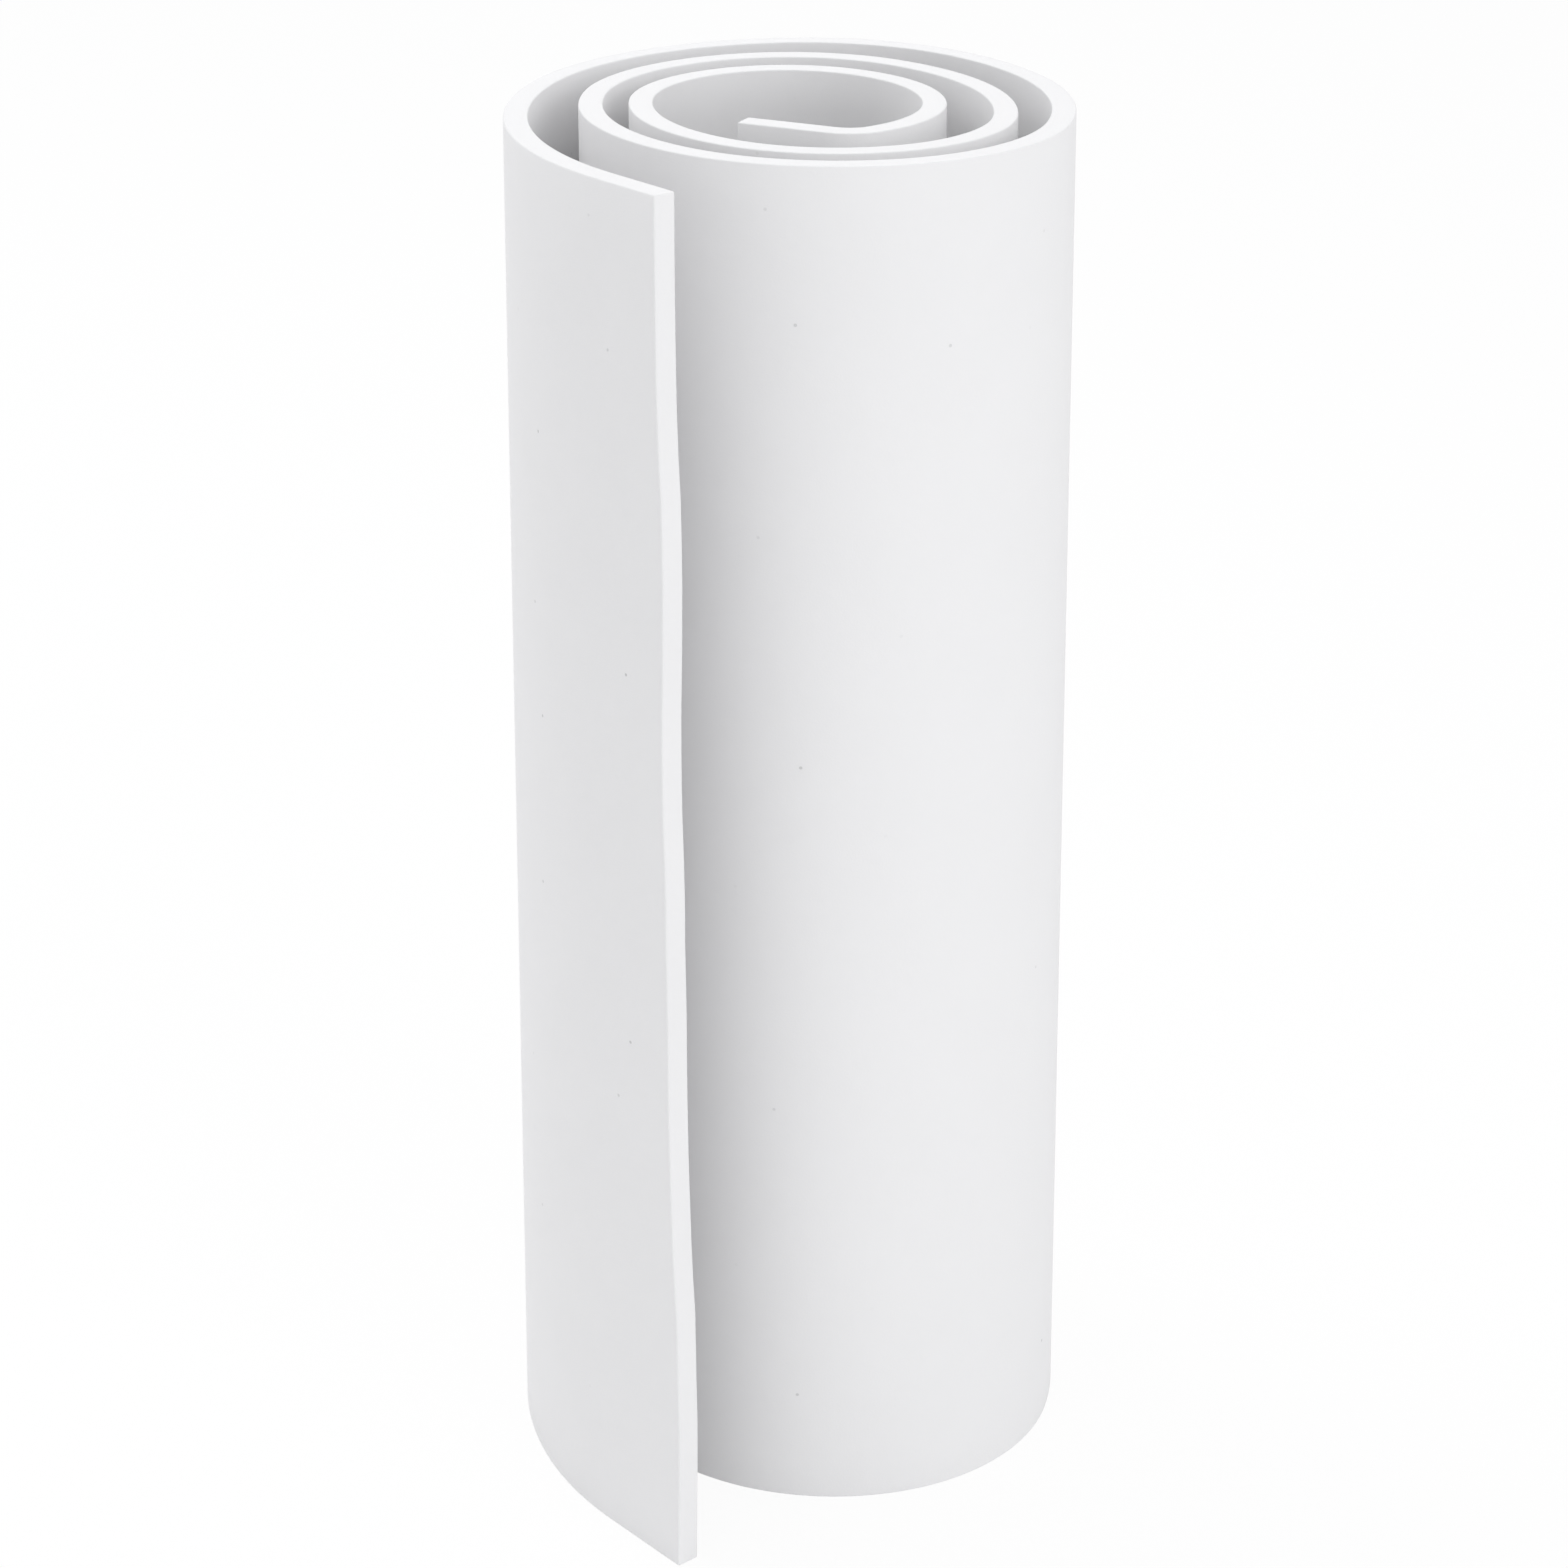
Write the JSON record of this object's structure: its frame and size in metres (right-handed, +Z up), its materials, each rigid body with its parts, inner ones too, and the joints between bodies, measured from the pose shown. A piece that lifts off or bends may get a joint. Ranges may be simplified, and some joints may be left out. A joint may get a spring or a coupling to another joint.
{
  "type": "rolled foam sheet",
  "caption": "White closed-cell foam sheet, wound into an open upright roll with a straight free flap, in hinged stretches so that it unrolls flat.",
  "frame": {"origin": "on the floor, under the middle of the roll's bounding box", "axes": "+Z up along the roll, parallel to the winding axis; the free flap ends towards -Y and -X"},
  "size_m": [0.1396, 0.1682, 0.35],
  "materials": {
    "foam": "matte white closed-cell foam with a very fine, even cell grain"
  },
  "bodies": {
    "core_tail": {"core_tail": "foam"},
    "inner_turn_01": {"inner_turn_01": "foam"},
    "inner_turn_02": {"inner_turn_02": "foam"},
    "inner_turn_03": {"inner_turn_03": "foam"},
    "inner_turn_04": {"inner_turn_04": "foam"},
    "inner_turn_05": {"inner_turn_05": "foam"},
    "inner_turn_06": {"inner_turn_06": "foam"},
    "inner_turn_07": {"inner_turn_07": "foam"},
    "inner_turn_08": {"inner_turn_08": "foam"},
    "middle_turn_01": {"middle_turn_01": "foam"},
    "middle_turn_02": {"middle_turn_02": "foam"},
    "middle_turn_03": {"middle_turn_03": "foam"},
    "middle_turn_04": {"middle_turn_04": "foam"},
    "middle_turn_05": {"middle_turn_05": "foam"},
    "middle_turn_06": {"middle_turn_06": "foam"},
    "middle_turn_07": {"middle_turn_07": "foam"},
    "middle_turn_08": {"middle_turn_08": "foam"},
    "middle_turn_09": {"middle_turn_09": "foam"},
    "middle_turn_10": {"middle_turn_10": "foam"},
    "outer_turn_01": {"outer_turn_01": "foam"},
    "outer_turn_02": {"outer_turn_02": "foam"},
    "outer_turn_03": {"outer_turn_03": "foam"},
    "outer_turn_04": {"outer_turn_04": "foam"},
    "outer_turn_05": {"outer_turn_05": "foam"},
    "outer_turn_06": {"outer_turn_06": "foam"},
    "outer_turn_07": {"outer_turn_07": "foam"},
    "outer_turn_08": {"outer_turn_08": "foam"},
    "outer_turn_09": {"outer_turn_09": "foam"},
    "outer_turn_10": {"outer_turn_10": "foam"},
    "free_flap": {"free_flap": "foam"}
  },
  "joints": [
    {"name": "unroll", "type": "hinge", "parent": "outer_turn_04", "child": "outer_turn_03", "pos_m": [0.06944, -0.00128, 0], "axis": [0, 0, 1], "range_deg": [0, 30.06]},
    {"name": "outer_turn_02_bend", "type": "hinge", "parent": "outer_turn_03", "child": "outer_turn_02", "pos_m": [0.05744, -0.03426, 0], "axis": [0, 0, 1], "range_deg": [0, 33.2]},
    {"name": "outer_turn_01_bend", "type": "hinge", "parent": "outer_turn_02", "child": "outer_turn_01", "pos_m": [0.03235, -0.05303, 0], "axis": [0, 0, 1], "range_deg": [0, 32.34]},
    {"name": "middle_turn_10_bend", "type": "hinge", "parent": "outer_turn_01", "child": "middle_turn_10", "pos_m": [-0.00101, -0.05564, 0], "axis": [0, 0, 1], "range_deg": [0, 32.8]},
    {"name": "middle_turn_09_bend", "type": "hinge", "parent": "middle_turn_10", "child": "middle_turn_09", "pos_m": [-0.03146, -0.03922, 0], "axis": [0, 0, 1], "range_deg": [0, 32.94]},
    {"name": "middle_turn_08_bend", "type": "hinge", "parent": "middle_turn_09", "child": "middle_turn_08", "pos_m": [-0.05061, -0.00428, 0], "axis": [0, 0, 1], "range_deg": [0, 32.7]},
    {"name": "middle_turn_07_bend", "type": "hinge", "parent": "middle_turn_08", "child": "middle_turn_07", "pos_m": [-0.04802, 0.03294, 0], "axis": [0, 0, 1], "range_deg": [0, 35.1]},
    {"name": "middle_turn_06_bend", "type": "hinge", "parent": "middle_turn_07", "child": "middle_turn_06", "pos_m": [-0.02798, 0.05762, 0], "axis": [0, 0, 1], "range_deg": [0, 34.2]},
    {"name": "middle_turn_05_bend", "type": "hinge", "parent": "middle_turn_06", "child": "middle_turn_05", "pos_m": [0.00064, 0.06622, 0], "axis": [0, 0, 1], "range_deg": [0, 35.82]},
    {"name": "middle_turn_04_bend", "type": "hinge", "parent": "middle_turn_05", "child": "middle_turn_04", "pos_m": [0.02806, 0.05673, 0], "axis": [0, 0, 1], "range_deg": [0, 36.04]},
    {"name": "middle_turn_03_bend", "type": "hinge", "parent": "middle_turn_04", "child": "middle_turn_03", "pos_m": [0.05244, 0.02174, 0], "axis": [0, 0, 1], "range_deg": [0, 34.62]},
    {"name": "middle_turn_02_bend", "type": "hinge", "parent": "middle_turn_03", "child": "middle_turn_02", "pos_m": [0.0526, -0.01577, 0], "axis": [0, 0, 1], "range_deg": [0, 39.28]},
    {"name": "middle_turn_01_bend", "type": "hinge", "parent": "middle_turn_02", "child": "middle_turn_01", "pos_m": [0.03508, -0.03738, 0], "axis": [0, 0, 1], "range_deg": [0, 38.37]},
    {"name": "inner_turn_08_bend", "type": "hinge", "parent": "middle_turn_01", "child": "inner_turn_08", "pos_m": [0.00569, -0.04395, 0], "axis": [0, 0, 1], "range_deg": [0, 39.76]},
    {"name": "inner_turn_07_bend", "type": "hinge", "parent": "inner_turn_08", "child": "inner_turn_07", "pos_m": [-0.024, -0.02872, 0], "axis": [0, 0, 1], "range_deg": [0, 39.11]},
    {"name": "inner_turn_06_bend", "type": "hinge", "parent": "inner_turn_07", "child": "inner_turn_06", "pos_m": [-0.03973, 0.00707, 0], "axis": [0, 0, 1], "range_deg": [0, 40.15]},
    {"name": "inner_turn_05_bend", "type": "hinge", "parent": "inner_turn_06", "child": "inner_turn_05", "pos_m": [-0.03121, 0.03597, 0], "axis": [0, 0, 1], "range_deg": [0, 42.71]},
    {"name": "inner_turn_04_bend", "type": "hinge", "parent": "inner_turn_05", "child": "inner_turn_04", "pos_m": [-0.00701, 0.05044, 0], "axis": [0, 0, 1], "range_deg": [0, 44.52]},
    {"name": "inner_turn_03_bend", "type": "hinge", "parent": "inner_turn_04", "child": "inner_turn_03", "pos_m": [0.02044, 0.04378, 0], "axis": [0, 0, 1], "range_deg": [0, 44.74]},
    {"name": "inner_turn_02_bend", "type": "hinge", "parent": "inner_turn_03", "child": "inner_turn_02", "pos_m": [0.03786, 0.01547, 0], "axis": [0, 0, 1], "range_deg": [0, 46.53]},
    {"name": "inner_turn_01_bend", "type": "hinge", "parent": "inner_turn_02", "child": "inner_turn_01", "pos_m": [0.0299, -0.01442, 0], "axis": [0, 0, 1], "range_deg": [0, 43.02]},
    {"name": "core_tail_bend", "type": "hinge", "parent": "inner_turn_01", "child": "core_tail", "pos_m": [0.01423, -0.02423, 0], "axis": [0, 0, 1], "range_deg": [0, 57.57]},
    {"name": "outer_turn_05_bend", "type": "hinge", "parent": "outer_turn_04", "child": "outer_turn_05", "pos_m": [0.06145, 0.04374, 0], "axis": [0, 0, -1], "range_deg": [0, 29.78]},
    {"name": "outer_turn_06_bend", "type": "hinge", "parent": "outer_turn_05", "child": "outer_turn_06", "pos_m": [0.03592, 0.07432, 0], "axis": [0, 0, -1], "range_deg": [0, 31.98]},
    {"name": "outer_turn_07_bend", "type": "hinge", "parent": "outer_turn_06", "child": "outer_turn_07", "pos_m": [0.00643, 0.08401, 0], "axis": [0, 0, -1], "range_deg": [0, 31.3]},
    {"name": "outer_turn_08_bend", "type": "hinge", "parent": "outer_turn_07", "child": "outer_turn_08", "pos_m": [-0.02745, 0.0761, 0], "axis": [0, 0, -1], "range_deg": [0, 29.08]},
    {"name": "outer_turn_09_bend", "type": "hinge", "parent": "outer_turn_08", "child": "outer_turn_09", "pos_m": [-0.05635, 0.04989, 0], "axis": [0, 0, -1], "range_deg": [0, 30.86]},
    {"name": "outer_turn_10_bend", "type": "hinge", "parent": "outer_turn_09", "child": "outer_turn_10", "pos_m": [-0.06967, 0.00612, 0], "axis": [0, 0, -1], "range_deg": [0, 28.27]},
    {"name": "free_flap_bend", "type": "hinge", "parent": "outer_turn_10", "child": "free_flap", "pos_m": [-0.05939, -0.0451, 0], "axis": [0, 0, -1], "range_deg": [0, 29.16]}
  ],
  "couplings": [
    {"joint": "outer_turn_02_bend", "follows": "unroll", "ratio": 1.1046},
    {"joint": "outer_turn_01_bend", "follows": "unroll", "ratio": 1.0758},
    {"joint": "middle_turn_10_bend", "follows": "unroll", "ratio": 1.0912},
    {"joint": "middle_turn_09_bend", "follows": "unroll", "ratio": 1.0958},
    {"joint": "middle_turn_08_bend", "follows": "unroll", "ratio": 1.0877},
    {"joint": "middle_turn_07_bend", "follows": "unroll", "ratio": 1.1677},
    {"joint": "middle_turn_06_bend", "follows": "unroll", "ratio": 1.1379},
    {"joint": "middle_turn_05_bend", "follows": "unroll", "ratio": 1.1916},
    {"joint": "middle_turn_04_bend", "follows": "unroll", "ratio": 1.1988},
    {"joint": "middle_turn_03_bend", "follows": "unroll", "ratio": 1.1517},
    {"joint": "middle_turn_02_bend", "follows": "unroll", "ratio": 1.3069},
    {"joint": "middle_turn_01_bend", "follows": "unroll", "ratio": 1.2764},
    {"joint": "inner_turn_08_bend", "follows": "unroll", "ratio": 1.3225},
    {"joint": "inner_turn_07_bend", "follows": "unroll", "ratio": 1.3011},
    {"joint": "inner_turn_06_bend", "follows": "unroll", "ratio": 1.3355},
    {"joint": "inner_turn_05_bend", "follows": "unroll", "ratio": 1.4208},
    {"joint": "inner_turn_04_bend", "follows": "unroll", "ratio": 1.4811},
    {"joint": "inner_turn_03_bend", "follows": "unroll", "ratio": 1.4885},
    {"joint": "inner_turn_02_bend", "follows": "unroll", "ratio": 1.5478},
    {"joint": "inner_turn_01_bend", "follows": "unroll", "ratio": 1.431},
    {"joint": "core_tail_bend", "follows": "unroll", "ratio": 1.915},
    {"joint": "outer_turn_05_bend", "follows": "unroll", "ratio": 0.99061},
    {"joint": "outer_turn_06_bend", "follows": "unroll", "ratio": 1.0639},
    {"joint": "outer_turn_07_bend", "follows": "unroll", "ratio": 1.0414},
    {"joint": "outer_turn_08_bend", "follows": "unroll", "ratio": 0.96748},
    {"joint": "outer_turn_09_bend", "follows": "unroll", "ratio": 1.0267},
    {"joint": "outer_turn_10_bend", "follows": "unroll", "ratio": 0.94028},
    {"joint": "free_flap_bend", "follows": "unroll", "ratio": 0.97001}
  ]
}
